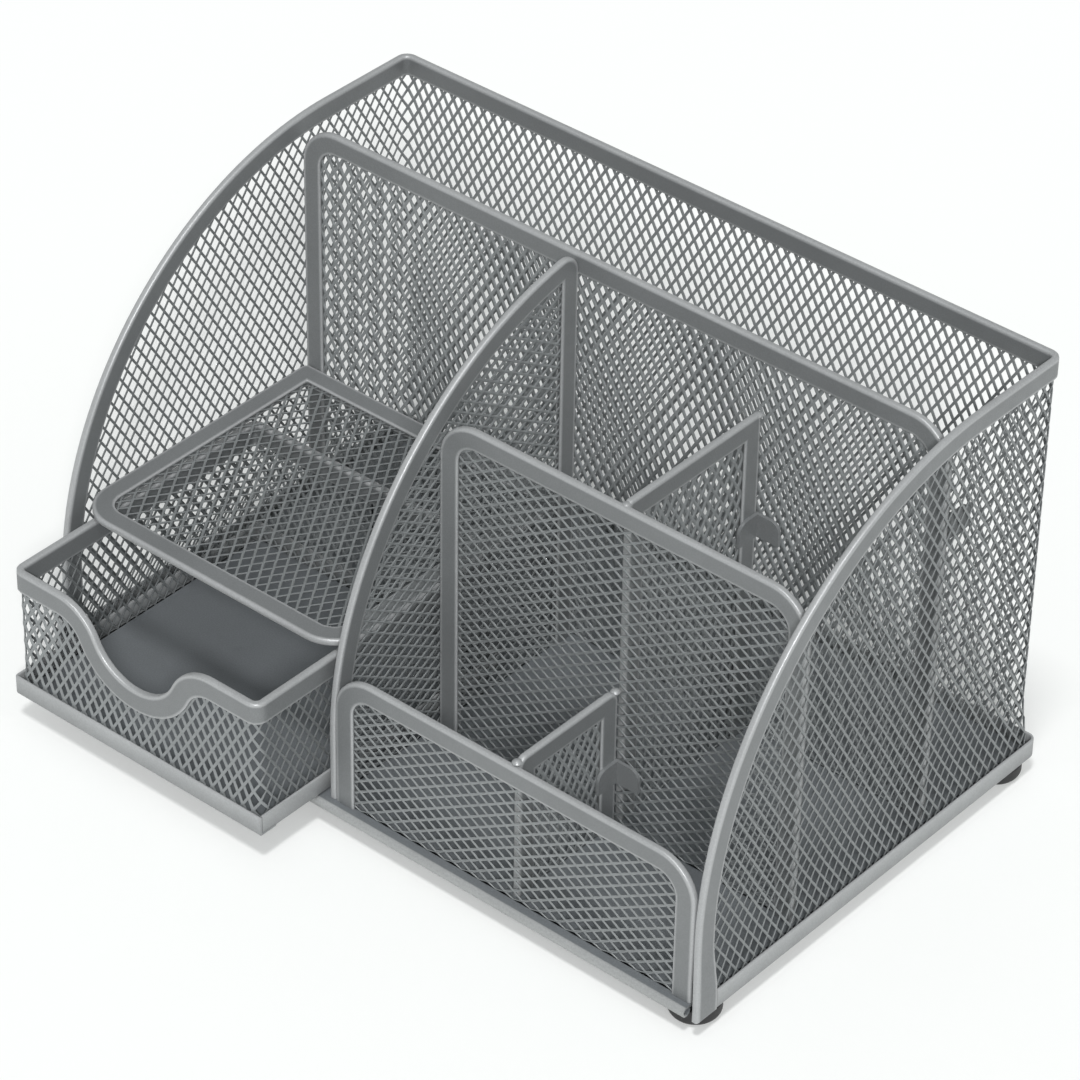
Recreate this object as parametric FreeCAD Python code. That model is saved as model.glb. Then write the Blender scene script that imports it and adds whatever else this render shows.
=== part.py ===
"""A desk stand for pens and letters, made of metal mesh in folded strips, with one drawer.

All sizes are in millimetres. +Z is up, X runs from left to right, and the drawer pulls out towards -Y.
The case is drawn with its front edge at y = 0 and moved at the end, so that the origin lies on the
desk under the middle of the whole stand, with the drawer a little open.
"""
import FreeCAD, Part
import math
import os

# The case, measured over its side strips and from the desk
CASE_WIDTH = 220.0
CASE_DEPTH = 137.8
CASE_HEIGHT = 132.6
SIDE_ARC_RADIUS = 105.0
FOOT_HEIGHT = 5.0

# The folded strip along the edges of each mesh panel
STRIP_WIDTH = 6.0
STRIP_THICKNESS = 2.0
MESH_THICKNESS = 0.8
SEAT_GAP = 0.1
FACE_GAP = 0.2

# The slanted strands of the mesh, one way in the front half of its thickness and the other way behind
STRAND_SPACING = 10.4
STRAND_WIDTH = 2.5
STRAND_ANGLE = 31.0
PLAIN_EDGE = 1.5
PLAIN_EDGE_PLAY = 0.4
SMALLEST_SLOT_AREA = 4.0

# The rim round the foot of the walls, and the floor with its rolled front edge
RIM_HEIGHT = 6.0
RIM_PROUD = 1.7
RIM_WALL = 0.8
RIM_CORNER_RADIUS = 2.5
RIM_LIP_WIDTH = 6.0
RIM_LIP_THICKNESS = 2.0
FLARE_HEIGHT = 8.0
FLOOR_THICKNESS = 0.9
ROLL_DIAMETER = 3.0

# The upright panels: the y of each front face, the height of each top above the desk, corner radii
REAR_DIVIDER_Y = 94.0
REAR_DIVIDER_TOP = 130.7
REAR_DIVIDER_RADIUS = 12.0
SECOND_DIVIDER_Y = 40.0
SECOND_DIVIDER_TOP = 109.0
SECOND_DIVIDER_LEFT_RADIUS = 6.0
SECOND_DIVIDER_RIGHT_RADIUS = 11.0
FRONT_PANEL_TOP = 51.0
FRONT_PANEL_RADIUS = 8.0
PARTITION_X = -11.8
SMALL_DIVIDER_X = 49.0
REAR_SMALL_TOP = 109.5
FRONT_SMALL_TOP = 52.5
SMALL_DIVIDER_RADIUS = 1.5

# The shelf over the drawer
SHELF_TOP = 53.0
SHELF_FRONT_Y = 4.0
SHELF_LEFT_RADIUS = 5.0
SHELF_RIGHT_RADIUS = 12.0
SHELF_REAR_RADIUS = 2.0

# The drawer, 24 mm open at rest; shut, its front is flush and its back stops at the rear divider
DRAWER_WIDTH = 89.5
DRAWER_STOP_GAP = 0.3
DRAWER_TOP = 49.5
DRAWER_OPEN = 24.0
DRAWER_RIGHT_GAP = 2.1
DRAWER_FLOOR_GAP = 0.3
DRAWER_CORNER_RADIUS = 4.0
DRAWER_STRIP_THICKNESS = 2.2
DRAWER_STRIP_WIDTH = 6.5
DRAWER_LIP_WIDTH = 3.0
DRAWER_SHEET = 0.8

# The finger notch in the drawer's front: two mirrored curves with a short slanted line between the arcs
NOTCH_HALF_WIDTH = 13.75
NOTCH_DEPTH = 17.5
NOTCH_FLANK_RUN = 8.2
NOTCH_ARC_RADIUS = 15.0

# Angle tabs and feet
TAB_LEG = 8.0
TAB_HEIGHT = 7.0
TAB_THICKNESS = 1.0
TAB_RADIUS = 3.0
REAR_TAB_Z = 72.0
FRONT_TAB_Z = 23.5
WALL_TAB_Z = 98.0
FOOT_RADIUS = 7.0
FOOT_SOLE_RADIUS = 4.6
FOOT_SIDE_HEIGHT = 2.4
FOOT_INSET_X = 5.5
FRONT_FOOT_Y = 6.25
REAR_FOOT_Y = 131.5

# Cuts run this far past the piece they cut
OVERRUN = 20.0

RIGHT_ANGLE = 90.0
HALF_WIDTH = CASE_WIDTH / 2
MESH_INSET = STRIP_WIDTH + SEAT_GAP
WALL_PLANE_X = HALF_WIDTH - STRIP_THICKNESS / 2
WALL_INNER_X = WALL_PLANE_X - MESH_THICKNESS / 2
STRIP_INNER_X = HALF_WIDTH - STRIP_THICKNESS
BACK_PLANE_Y = CASE_DEPTH - STRIP_THICKNESS / 2
BACK_INNER_Y = BACK_PLANE_Y - MESH_THICKNESS / 2
LIP_TOP = FOOT_HEIGHT + RIM_LIP_THICKNESS
FLOOR_BOTTOM = LIP_TOP + SEAT_GAP
FLOOR_TOP = FLOOR_BOTTOM + FLOOR_THICKNESS
PANEL_BOTTOM = FLOOR_TOP + SEAT_GAP
BAY_LEFT_X = -STRIP_INNER_X
BAY_RIGHT_X = PARTITION_X - STRIP_THICKNESS / 2
RIGHT_BAY_LEFT_X = PARTITION_X + STRIP_THICKNESS / 2

DRAWER_RIGHT_X = BAY_RIGHT_X - DRAWER_RIGHT_GAP
DRAWER_LEFT_X = DRAWER_RIGHT_X - DRAWER_WIDTH
DRAWER_CENTRE_X = (DRAWER_LEFT_X + DRAWER_RIGHT_X) / 2
DRAWER_FRONT_Y = -DRAWER_OPEN
DRAWER_BACK_Y = REAR_DIVIDER_Y - DRAWER_STOP_GAP - DRAWER_OPEN
DRAWER_BOTTOM = FLOOR_TOP + DRAWER_FLOOR_GAP
DRAWER_MESH_INSET = (DRAWER_STRIP_THICKNESS - MESH_THICKNESS) / 2
DRAWER_MESH_BOTTOM = DRAWER_BOTTOM + RIM_HEIGHT + SEAT_GAP
DRAWER_MESH_DROP = DRAWER_STRIP_WIDTH + SEAT_GAP

# The origin lies midway between the open drawer's front and the back of the rim
ORIGIN_Y = (DRAWER_FRONT_Y + CASE_DEPTH + RIM_PROUD) / 2

os.makedirs("parts", exist_ok=True)


def rounded_wire(corners):
    """A closed outline in the XY plane through (u, v, radius) corners, each rounded by a tangent arc."""
    edges = []
    starts = []
    ends = []
    arcs = []
    for index, (u, v, radius) in enumerate(corners):
        point = FreeCAD.Vector(u, v, 0)
        before = FreeCAD.Vector(corners[index - 1][0], corners[index - 1][1], 0) - point
        following = corners[(index + 1) % len(corners)]
        after = FreeCAD.Vector(following[0], following[1], 0) - point
        if radius <= 0:
            starts.append(point)
            ends.append(point)
            arcs.append(None)
            continue
        half_angle = before.getAngle(after) / 2
        before.normalize()
        after.normalize()
        tangent = radius / math.tan(half_angle)
        bisector = (before + after).normalize()
        starts.append(point + before * tangent)
        ends.append(point + after * tangent)
        middle = point + bisector * (radius / math.sin(half_angle) - radius)
        arcs.append(Part.Arc(starts[-1], middle, ends[-1]).toShape())
    for index, arc in enumerate(arcs):
        if arc:
            edges.append(arc)
        following = starts[(index + 1) % len(corners)]
        if ends[index].distanceToPoint(following) > Part.Precision.confusion():
            edges.append(Part.LineSegment(ends[index], following).toShape())
    return Part.Wire(edges)


def face(corners):
    """A flat face in the XY plane inside a rounded outline."""
    return Part.Face(rounded_wire(corners))


def rectangle(u_low, v_low, u_high, v_high):
    """A plain rectangular face in the XY plane."""
    return face([(u_low, v_low, 0), (u_high, v_low, 0), (u_high, v_high, 0), (u_low, v_high, 0)])


def box(x_low, y_low, z_low, x_high, y_high, z_high):
    """A box between two opposite corners."""
    base = FreeCAD.Vector(x_low, y_low, z_low)
    return Part.makeBox(x_high - x_low, y_high - y_low, z_high - z_low, base)


def slab(flat, low, high):
    """A flat face in the XY plane thickened from one height to another."""
    lifted = flat.copy()
    lifted.translate(FreeCAD.Vector(0, 0, low))
    return lifted.extrude(FreeCAD.Vector(0, 0, high - low))


def across_x(shape, y):
    """Stand a shape drawn flat upright, its u along X and its v along Z, centred on one y."""
    upright = shape.copy()
    upright.Placement = FreeCAD.Placement(
        FreeCAD.Vector(0, y, 0), FreeCAD.Rotation(FreeCAD.Vector(1, 0, 0), RIGHT_ANGLE)
    )
    return upright


def across_y(shape, x):
    """Stand a shape drawn flat upright, its u along Y and its v along Z, centred on one x."""
    upright = shape.copy()
    turn = FreeCAD.Rotation(FreeCAD.Vector(0, 1, 0), FreeCAD.Vector(0, 0, 1), FreeCAD.Vector(1, 0, 0), "XYZ")
    upright.Placement = FreeCAD.Placement(FreeCAD.Vector(x, 0, 0), turn)
    return upright


def straight_edged(flat):
    """The same flat face with each curve of its outline replaced by a few straight lines."""
    points = flat.OuterWire.discretize(Deflection=PLAIN_EDGE_PLAY)
    return Part.Face(Part.makePolygon(points + points[:1]))


def strand_layer(outline, window, angle, low, high):
    """One layer of the mesh: a plate with slots all along one slant, so that strands remain."""
    bounds = window.BoundBox
    reach = bounds.DiagonalLength
    half_slot = (STRAND_SPACING - STRAND_WIDTH) / 2
    count = math.ceil(reach / STRAND_SPACING / 2)
    turn = FreeCAD.Rotation(FreeCAD.Vector(0, 0, 1), angle)
    slots = []
    for step in range(-count, count + 1):
        middle = step * STRAND_SPACING
        slot = rectangle(-reach, middle - half_slot, reach, middle + half_slot)
        slot.Placement = FreeCAD.Placement(bounds.Center, turn)
        slots.append(slot)
    inside = Part.makeCompound(slots).common(straight_edged(window))
    cuts = [piece for piece in inside.Faces if piece.Area > SMALLEST_SLOT_AREA]
    return slab(outline.cut(Part.makeCompound(cuts)), low, high).Solids


def mesh(outline, window, upright_diamonds):
    """A mesh panel lying flat and centred on z = 0, of two layers whose strands cross as diamonds."""
    along = RIGHT_ANGLE if upright_diamonds else 0
    front = strand_layer(outline, window, along + STRAND_ANGLE, 0, MESH_THICKNESS / 2)
    back = strand_layer(outline, window, along - STRAND_ANGLE, -MESH_THICKNESS / 2, 0)
    return Part.makeCompound(front + back)


def strip(outline, window):
    """A folded strip lying flat and centred on z = 0, between its outer edge and the panel's window."""
    return slab(outline.cut(window), -STRIP_THICKNESS / 2, STRIP_THICKNESS / 2)


def arch(left, right, bottom, top, left_radius, right_radius):
    """The outline of an upright panel with its two top corners rounded."""
    return face([
        (left, bottom, 0),
        (right, bottom, 0),
        (right, top, max(right_radius, 0)),
        (left, top, max(left_radius, 0)),
    ])


def arch_panel(left, right, top, left_radius, right_radius, upright_diamonds):
    """A divider's mesh and the strip folded over its two sides and top, both lying flat."""

    def inner(inset, bottom):
        return arch(
            left + inset, right - inset, bottom, top - inset, left_radius - inset, right_radius - inset
        )

    sheet = inner(MESH_INSET, PANEL_BOTTOM)
    slotted = inner(MESH_INSET + PLAIN_EDGE, PANEL_BOTTOM + PLAIN_EDGE)
    folded = strip(inner(0, PANEL_BOTTOM), inner(STRIP_WIDTH, -OVERRUN))
    return mesh(sheet, slotted, upright_diamonds), folded


def side_profile(bottom, inset, back):
    """The outline of a side: upright front edge, quarter-round shoulder and level top."""
    return arch(inset, back, bottom, CASE_HEIGHT - inset, SIDE_ARC_RADIUS - inset, 0)


def side_frame(side):
    """The strip along the front, shoulder and top of one side, bent out at its foot to meet the rim."""
    window = side_profile(-OVERRUN, STRIP_WIDTH, CASE_DEPTH + OVERRUN)
    folded = across_y(strip(side_profile(FOOT_HEIGHT, 0, CASE_DEPTH), window), side * WALL_PLANE_X)
    rim_top = FOOT_HEIGHT + RIM_HEIGHT
    flare = Part.Face(Part.makePolygon([
        FreeCAD.Vector(side * HALF_WIDTH, 0, rim_top),
        FreeCAD.Vector(side * (HALF_WIDTH + RIM_PROUD), 0, rim_top),
        FreeCAD.Vector(side * HALF_WIDTH, 0, rim_top + FLARE_HEIGHT),
        FreeCAD.Vector(side * HALF_WIDTH, 0, rim_top),
    ])).extrude(FreeCAD.Vector(0, STRIP_WIDTH, 0))
    return folded.fuse(flare).removeSplitter()


def wall_mesh(side):
    """The flat part of the wall mesh on one side, from the front strip to the back corner."""
    back = BACK_INNER_Y + MESH_THICKNESS
    sheet = side_profile(FLOOR_BOTTOM, MESH_INSET, back)
    slotted = side_profile(PANEL_BOTTOM + PLAIN_EDGE, MESH_INSET + PLAIN_EDGE, back - PLAIN_EDGE)
    return across_y(mesh(sheet, slotted, True), side * WALL_PLANE_X)


def back_mesh():
    """The back wall's mesh, between the two side meshes and under the top strip."""
    wide = WALL_INNER_X - SEAT_GAP
    top = CASE_HEIGHT - MESH_INSET
    edge = wide - PLAIN_EDGE
    slotted = rectangle(-edge, PANEL_BOTTOM + PLAIN_EDGE, edge, top - PLAIN_EDGE)
    return across_x(mesh(rectangle(-wide, FLOOR_BOTTOM, wide, top), slotted, True), BACK_PLANE_Y)


def back_rail():
    """The strip folded over the top of the back wall, between the two side strips."""
    outline = rectangle(-STRIP_INNER_X, CASE_HEIGHT - STRIP_WIDTH, STRIP_INNER_X, CASE_HEIGHT)
    return across_x(slab(outline, -STRIP_THICKNESS / 2, STRIP_THICKNESS / 2), BACK_PLANE_Y)


def rim_outline(inset):
    """The plan of the base rim, open at the front, with its outer face drawn in by inset."""
    outer_x = HALF_WIDTH + RIM_PROUD - inset
    outer_y = CASE_DEPTH + RIM_PROUD - inset
    radius = RIM_CORNER_RADIUS - inset
    return face([(-outer_x, 0, 0), (outer_x, 0, 0), (outer_x, outer_y, radius), (-outer_x, outer_y, radius)])


def base_rim():
    """The gutter round the foot of the side and back walls: a proud wall and a lip under the floor."""
    lip_x = HALF_WIDTH - RIM_LIP_WIDTH
    lip = rim_outline(0).cut(rectangle(-lip_x, -OVERRUN, lip_x, CASE_DEPTH - RIM_LIP_WIDTH))
    lip = lip.cut(rectangle(-HALF_WIDTH, -OVERRUN, HALF_WIDTH, MESH_INSET))
    rim = slab(rim_outline(0).cut(rim_outline(RIM_WALL)), FOOT_HEIGHT, FOOT_HEIGHT + RIM_HEIGHT)
    rim = rim.fuse(slab(lip, FOOT_HEIGHT, LIP_TOP))
    for side in (-1, 1):
        end = rectangle(0, 0, RIM_PROUD, STRIP_WIDTH)
        end.translate(FreeCAD.Vector(HALF_WIDTH if side > 0 else -HALF_WIDTH - RIM_PROUD, 0, 0))
        rim = rim.fuse(slab(end, FOOT_HEIGHT, FOOT_HEIGHT + RIM_HEIGHT))
    return rim.cut(front_clearance()).removeSplitter()


def front_clearance():
    """The space between the two sides in front of the case, which the rim leaves open."""
    return box(-HALF_WIDTH, -OVERRUN, 0, HALF_WIDTH, MESH_INSET, CASE_HEIGHT)


def floor_plate():
    """The plain floor, with its front edge rolled down into a bead."""
    wide = WALL_INNER_X - SEAT_GAP
    narrow = STRIP_INNER_X - SEAT_GAP
    roll_radius = ROLL_DIAMETER / 2
    middle = MESH_INSET
    plate = box(-wide, middle, FLOOR_BOTTOM, wide, BACK_INNER_Y - SEAT_GAP, FLOOR_TOP)
    tongue = box(-narrow, -roll_radius, FLOOR_BOTTOM, narrow, middle, FLOOR_TOP)
    centre = FreeCAD.Vector(-narrow, -roll_radius, FLOOR_TOP - roll_radius)
    roll = Part.makeCylinder(roll_radius, narrow * 2, centre, FreeCAD.Vector(1, 0, 0))
    return plate.fuse(tongue).fuse(roll).removeSplitter()


def partition():
    """The middle partition, which follows the curve of the sides up to the rear divider."""
    rear = REAR_DIVIDER_Y - SEAT_GAP

    def shape(inset, bottom):
        profile = side_profile(bottom, inset, CASE_DEPTH)
        return profile.common(rectangle(-OVERRUN, -OVERRUN, rear - inset, CASE_HEIGHT)).Faces[0]

    sheet = shape(MESH_INSET, PANEL_BOTTOM)
    slotted = shape(MESH_INSET + PLAIN_EDGE, PANEL_BOTTOM + PLAIN_EDGE)
    folded = strip(shape(0, PANEL_BOTTOM), shape(STRIP_WIDTH, -OVERRUN))
    return across_y(mesh(sheet, slotted, False), PARTITION_X), across_y(folded, PARTITION_X)


def shelf():
    """The shelf over the drawer: a mesh sheet in a strip folded round all four edges."""
    low_x = BAY_LEFT_X + FACE_GAP
    high_x = BAY_RIGHT_X - FACE_GAP
    rear_y = REAR_DIVIDER_Y - FACE_GAP

    def shape(inset):
        return face([
            (low_x + inset, SHELF_FRONT_Y + inset, max(SHELF_LEFT_RADIUS - inset, 0)),
            (high_x - inset, SHELF_FRONT_Y + inset, max(SHELF_RIGHT_RADIUS - inset, 0)),
            (high_x - inset, rear_y - inset, max(SHELF_REAR_RADIUS - inset, 0)),
            (low_x + inset, rear_y - inset, max(SHELF_REAR_RADIUS - inset, 0)),
        ])

    sheet = mesh(shape(MESH_INSET), shape(MESH_INSET + PLAIN_EDGE), True)
    folded = strip(shape(0), shape(STRIP_WIDTH))
    height = FreeCAD.Vector(0, 0, SHELF_TOP - STRIP_THICKNESS / 2)
    return sheet.translated(height), folded.translated(height)


def drawer_loop(inset):
    """The drawer's rounded footprint, drawn in by inset."""
    radius = DRAWER_CORNER_RADIUS - inset
    return face([
        (DRAWER_LEFT_X + inset, DRAWER_FRONT_Y + inset, radius),
        (DRAWER_RIGHT_X - inset, DRAWER_FRONT_Y + inset, radius),
        (DRAWER_RIGHT_X - inset, DRAWER_BACK_Y - inset, radius),
        (DRAWER_LEFT_X + inset, DRAWER_BACK_Y - inset, radius),
    ])


def notch_corners(lowered):
    """The corners of the drawer front's upper edge, left to right, moved inwards by lowered."""
    half_rise = NOTCH_DEPTH / 2
    middle_slope = math.atan2(half_rise, NOTCH_FLANK_RUN / 2)
    spread = lowered * math.tan(middle_slope / 2)
    shoulder = NOTCH_HALF_WIDTH + NOTCH_FLANK_RUN / 2 + spread
    heel = NOTCH_HALF_WIDTH - NOTCH_FLANK_RUN / 2 + spread
    shoulder_z = DRAWER_TOP - lowered
    heel_z = shoulder_z - NOTCH_DEPTH
    return [
        (DRAWER_CENTRE_X - shoulder, shoulder_z, NOTCH_ARC_RADIUS - lowered),
        (DRAWER_CENTRE_X - heel, heel_z, NOTCH_ARC_RADIUS + lowered),
        (DRAWER_CENTRE_X + heel, heel_z, NOTCH_ARC_RADIUS + lowered),
        (DRAWER_CENTRE_X + shoulder, shoulder_z, NOTCH_ARC_RADIUS - lowered),
    ]


def below_notch(lowered, low_x, high_x, bottom):
    """The face below the notched edge, between two upright sides."""
    top = DRAWER_TOP - lowered
    ends = [(high_x, top, 0), (high_x, bottom, 0), (low_x, bottom, 0), (low_x, top, 0)]
    return face(notch_corners(lowered) + ends)


def rim_band(upper, lower):
    """A band as high as the top strip all round, dipping along the notch at the drawer's front."""
    low_x = DRAWER_LEFT_X - OVERRUN
    high_x = DRAWER_RIGHT_X + OVERRUN
    front = below_notch(upper, low_x, high_x, 0).cut(below_notch(lower, low_x, high_x, 0))
    dipping = slab(front, -DRAWER_CORNER_RADIUS, OVERRUN)
    level = box(
        low_x, DRAWER_FRONT_Y + DRAWER_CORNER_RADIUS, DRAWER_TOP - lower,
        high_x, DRAWER_BACK_Y + OVERRUN, DRAWER_TOP - upper,
    )
    return across_x(dipping, DRAWER_FRONT_Y).fuse(level)


def drawer_top_rim():
    """The strip folded over the drawer's upper edge, which dips round the finger notch."""
    walls = slab(drawer_loop(0).cut(drawer_loop(DRAWER_STRIP_THICKNESS)), 0, DRAWER_TOP)
    return walls.common(rim_band(0, DRAWER_STRIP_WIDTH)).removeSplitter()


def drawer_bottom_rim():
    """The strip round the drawer's foot, with a lip turned in under the drawer's floor."""
    walls = drawer_loop(0).cut(drawer_loop(DRAWER_STRIP_THICKNESS))
    lip = drawer_loop(0).cut(drawer_loop(DRAWER_STRIP_THICKNESS + DRAWER_LIP_WIDTH))
    rim = slab(walls, DRAWER_BOTTOM, DRAWER_BOTTOM + RIM_HEIGHT)
    return rim.fuse(slab(lip, DRAWER_BOTTOM, DRAWER_BOTTOM + DRAWER_SHEET)).removeSplitter()


def drawer_floor():
    """The plain floor of the drawer, resting on the lip of its bottom rim."""
    low = DRAWER_BOTTOM + DRAWER_SHEET + SEAT_GAP
    return slab(drawer_loop(DRAWER_STRIP_THICKNESS + SEAT_GAP), low, low + DRAWER_SHEET)


def drawer_corners(y_low, y_high):
    """The two plain quarter-round bends of the drawer's mesh between two depths."""
    ring = drawer_loop(DRAWER_MESH_INSET).cut(drawer_loop(DRAWER_MESH_INSET + MESH_THICKNESS))
    bends = slab(ring, DRAWER_MESH_BOTTOM, DRAWER_TOP - DRAWER_MESH_DROP)
    left = box(DRAWER_LEFT_X, y_low, 0, DRAWER_LEFT_X + DRAWER_CORNER_RADIUS, y_high, DRAWER_TOP)
    right = box(DRAWER_RIGHT_X - DRAWER_CORNER_RADIUS, y_low, 0, DRAWER_RIGHT_X, y_high, DRAWER_TOP)
    return bends.common(left).Solids + bends.common(right).Solids


def drawer_front_mesh():
    """The drawer's front mesh below the finger notch, with the two front bends."""
    low_x = DRAWER_LEFT_X + DRAWER_CORNER_RADIUS
    high_x = DRAWER_RIGHT_X - DRAWER_CORNER_RADIUS
    sheet = below_notch(DRAWER_MESH_DROP, low_x, high_x, DRAWER_MESH_BOTTOM)
    slotted = below_notch(
        DRAWER_MESH_DROP + PLAIN_EDGE, low_x + PLAIN_EDGE / 2, high_x - PLAIN_EDGE / 2,
        DRAWER_MESH_BOTTOM + PLAIN_EDGE,
    )
    plane_y = DRAWER_FRONT_Y + DRAWER_STRIP_THICKNESS / 2
    flat = across_x(mesh(sheet, slotted, True), plane_y)
    bends = drawer_corners(DRAWER_FRONT_Y, DRAWER_FRONT_Y + DRAWER_CORNER_RADIUS)
    return Part.makeCompound(flat.Solids + bends)


def plain_drawer_wall(low, high):
    """A flat drawer wall's mesh, lying flat, between two corners."""
    top = DRAWER_TOP - DRAWER_MESH_DROP
    edge = PLAIN_EDGE / 2
    slotted = rectangle(low + edge, DRAWER_MESH_BOTTOM + PLAIN_EDGE, high - edge, top - PLAIN_EDGE)
    return mesh(rectangle(low, DRAWER_MESH_BOTTOM, high, top), slotted, True)


def drawer_back_mesh():
    """The drawer's back mesh, with the two rear bends."""
    low_x = DRAWER_LEFT_X + DRAWER_CORNER_RADIUS
    high_x = DRAWER_RIGHT_X - DRAWER_CORNER_RADIUS
    flat = across_x(plain_drawer_wall(low_x, high_x), DRAWER_BACK_Y - DRAWER_STRIP_THICKNESS / 2)
    bends = drawer_corners(DRAWER_BACK_Y - DRAWER_CORNER_RADIUS, DRAWER_BACK_Y)
    return Part.makeCompound(flat.Solids + bends)


def drawer_side_mesh(x):
    """The mesh of one side of the drawer."""
    low_y = DRAWER_FRONT_Y + DRAWER_CORNER_RADIUS
    high_y = DRAWER_BACK_Y - DRAWER_CORNER_RADIUS
    return across_y(plain_drawer_wall(low_y, high_y), x)


def tab_leg(low, high, rounded_low, z):
    """One leg of an angle tab, lying flat, rounded at the top of its free end."""
    low_radius = TAB_RADIUS if rounded_low else 0
    high_radius = 0 if rounded_low else TAB_RADIUS
    leg = arch(low, high, z, z + TAB_HEIGHT, low_radius, high_radius)
    return slab(leg, -TAB_THICKNESS / 2, TAB_THICKNESS / 2)


def corner_tab(x, y, z, along_x, along_y):
    """An angle tab in the corner at x and y, with a leg towards along_x and one towards along_y."""
    half = TAB_THICKNESS / 2
    x_end = x + along_x * TAB_LEG
    y_end = y + along_y * TAB_LEG
    leg_x = across_x(tab_leg(min(x, x_end), max(x, x_end), along_x < 0, z), y + along_y * half)
    leg_y = across_y(tab_leg(min(y, y_end), max(y, y_end), along_y < 0, z), x + along_x * half)
    return leg_x.fuse(leg_y).removeSplitter()


def angle_tabs():
    """The three angle tabs that show: on both small dividers and behind the rear divider's right end."""
    face_x = SMALL_DIVIDER_X + STRIP_THICKNESS / 2
    rear_y = REAR_DIVIDER_Y - SEAT_GAP
    second_y = SECOND_DIVIDER_Y - SEAT_GAP
    behind_y = REAR_DIVIDER_Y + STRIP_THICKNESS
    return Part.makeCompound([
        corner_tab(face_x, rear_y, REAR_TAB_Z, 1, -1),
        corner_tab(face_x, second_y, FRONT_TAB_Z, 1, -1),
        corner_tab(WALL_INNER_X - SEAT_GAP, behind_y, WALL_TAB_Z, -1, 1),
    ])


def rubber_foot(x, y):
    """A domed rubber foot under one corner."""
    outline = [
        FreeCAD.Vector(0, 0, 0),
        FreeCAD.Vector(FOOT_SOLE_RADIUS, 0, 0),
        FreeCAD.Vector(FOOT_RADIUS, 0, FOOT_SIDE_HEIGHT),
        FreeCAD.Vector(FOOT_RADIUS, 0, FOOT_HEIGHT),
        FreeCAD.Vector(0, 0, FOOT_HEIGHT),
        FreeCAD.Vector(0, 0, 0),
    ]
    full_turn = RIGHT_ANGLE * 4
    profile = Part.Face(Part.makePolygon(outline))
    dome = profile.revolve(FreeCAD.Vector(0, 0, 0), FreeCAD.Vector(0, 0, 1), full_turn)
    return dome.translated(FreeCAD.Vector(x, y, 0))


def rubber_feet():
    """The four feet, in from the corners of the case."""
    x = HALF_WIDTH - FOOT_INSET_X
    spots = [(side * x, y) for side in (-1, 1) for y in (FRONT_FOOT_Y, REAR_FOOT_Y)]
    return Part.makeCompound([rubber_foot(*spot) for spot in spots])


def save(name, shape):
    """Move a finished piece into the part's own frame and write it."""
    placed = Part.makeCompound(shape.translated(FreeCAD.Vector(0, -ORIGIN_Y, 0)).Solids)
    placed.exportStep("parts/" + name + ".step")


def save_divider(name, y, panel):
    """Save the mesh and the strip of a divider that runs across the case."""
    sheet, folded = panel
    plane_y = y + STRIP_THICKNESS / 2
    save(name + "_mesh", across_x(sheet, plane_y))
    save(name + "_frame", across_x(folded, plane_y))


def save_small_divider(name, y_low, y_high, top):
    """Save the mesh and the strip of a small divider that runs from front to back."""
    sheet, folded = arch_panel(y_low, y_high, top, SMALL_DIVIDER_RADIUS, SMALL_DIVIDER_RADIUS, True)
    save(name + "_mesh", across_y(sheet, SMALL_DIVIDER_X))
    save(name + "_frame", across_y(folded, SMALL_DIVIDER_X))


for side_name, side in (("left", -1), ("right", 1)):
    save(side_name + "_wall_mesh", wall_mesh(side))
    save(side_name + "_side_frame", side_frame(side))
save("back_wall_mesh", back_mesh())
save("back_top_rail", back_rail())
save("base_rim", base_rim())
save("floor_plate", floor_plate())

inner_x = STRIP_INNER_X - FACE_GAP
bay_x = RIGHT_BAY_LEFT_X + FACE_GAP
save_divider("rear_divider", REAR_DIVIDER_Y, arch_panel(
    -inner_x, inner_x, REAR_DIVIDER_TOP, REAR_DIVIDER_RADIUS, REAR_DIVIDER_RADIUS, True))
save_divider("second_divider", SECOND_DIVIDER_Y, arch_panel(
    bay_x, inner_x, SECOND_DIVIDER_TOP, SECOND_DIVIDER_LEFT_RADIUS, SECOND_DIVIDER_RIGHT_RADIUS, False))
save_divider("front_panel", 0, arch_panel(
    bay_x, inner_x, FRONT_PANEL_TOP, FRONT_PANEL_RADIUS, FRONT_PANEL_RADIUS, False))
save_small_divider(
    "rear_small_divider", SECOND_DIVIDER_Y + STRIP_THICKNESS + SEAT_GAP, REAR_DIVIDER_Y - SEAT_GAP,
    REAR_SMALL_TOP)
save_small_divider(
    "front_small_divider", STRIP_THICKNESS + SEAT_GAP, SECOND_DIVIDER_Y - SEAT_GAP, FRONT_SMALL_TOP)

partition_sheet, partition_fold = partition()
save("partition_mesh", partition_sheet)
save("partition_frame", partition_fold)
shelf_sheet, shelf_fold = shelf()
save("shelf_mesh", shelf_sheet)
save("shelf_frame", shelf_fold)

save("drawer_front_mesh", drawer_front_mesh())
save("drawer_back_mesh", drawer_back_mesh())
save("drawer_left_mesh", drawer_side_mesh(DRAWER_LEFT_X + DRAWER_STRIP_THICKNESS / 2))
save("drawer_right_mesh", drawer_side_mesh(DRAWER_RIGHT_X - DRAWER_STRIP_THICKNESS / 2))
save("drawer_top_rim", drawer_top_rim())
save("drawer_bottom_rim", drawer_bottom_rim())
save("drawer_floor", drawer_floor())

save("angle_tabs", angle_tabs())
save("rubber_feet", rubber_feet())
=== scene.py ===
"""The looks of the pen stand: expanded-metal sheets, folded strips, a rolled floor edge and rubber feet.

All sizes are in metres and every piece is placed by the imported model. Sheets and strips are drawn flat
in their own (u, v), with w as the height over the sheet, and are then laid on a panel by a function
that turns (u, v, w) into (x, y, z).
"""
import math

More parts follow.
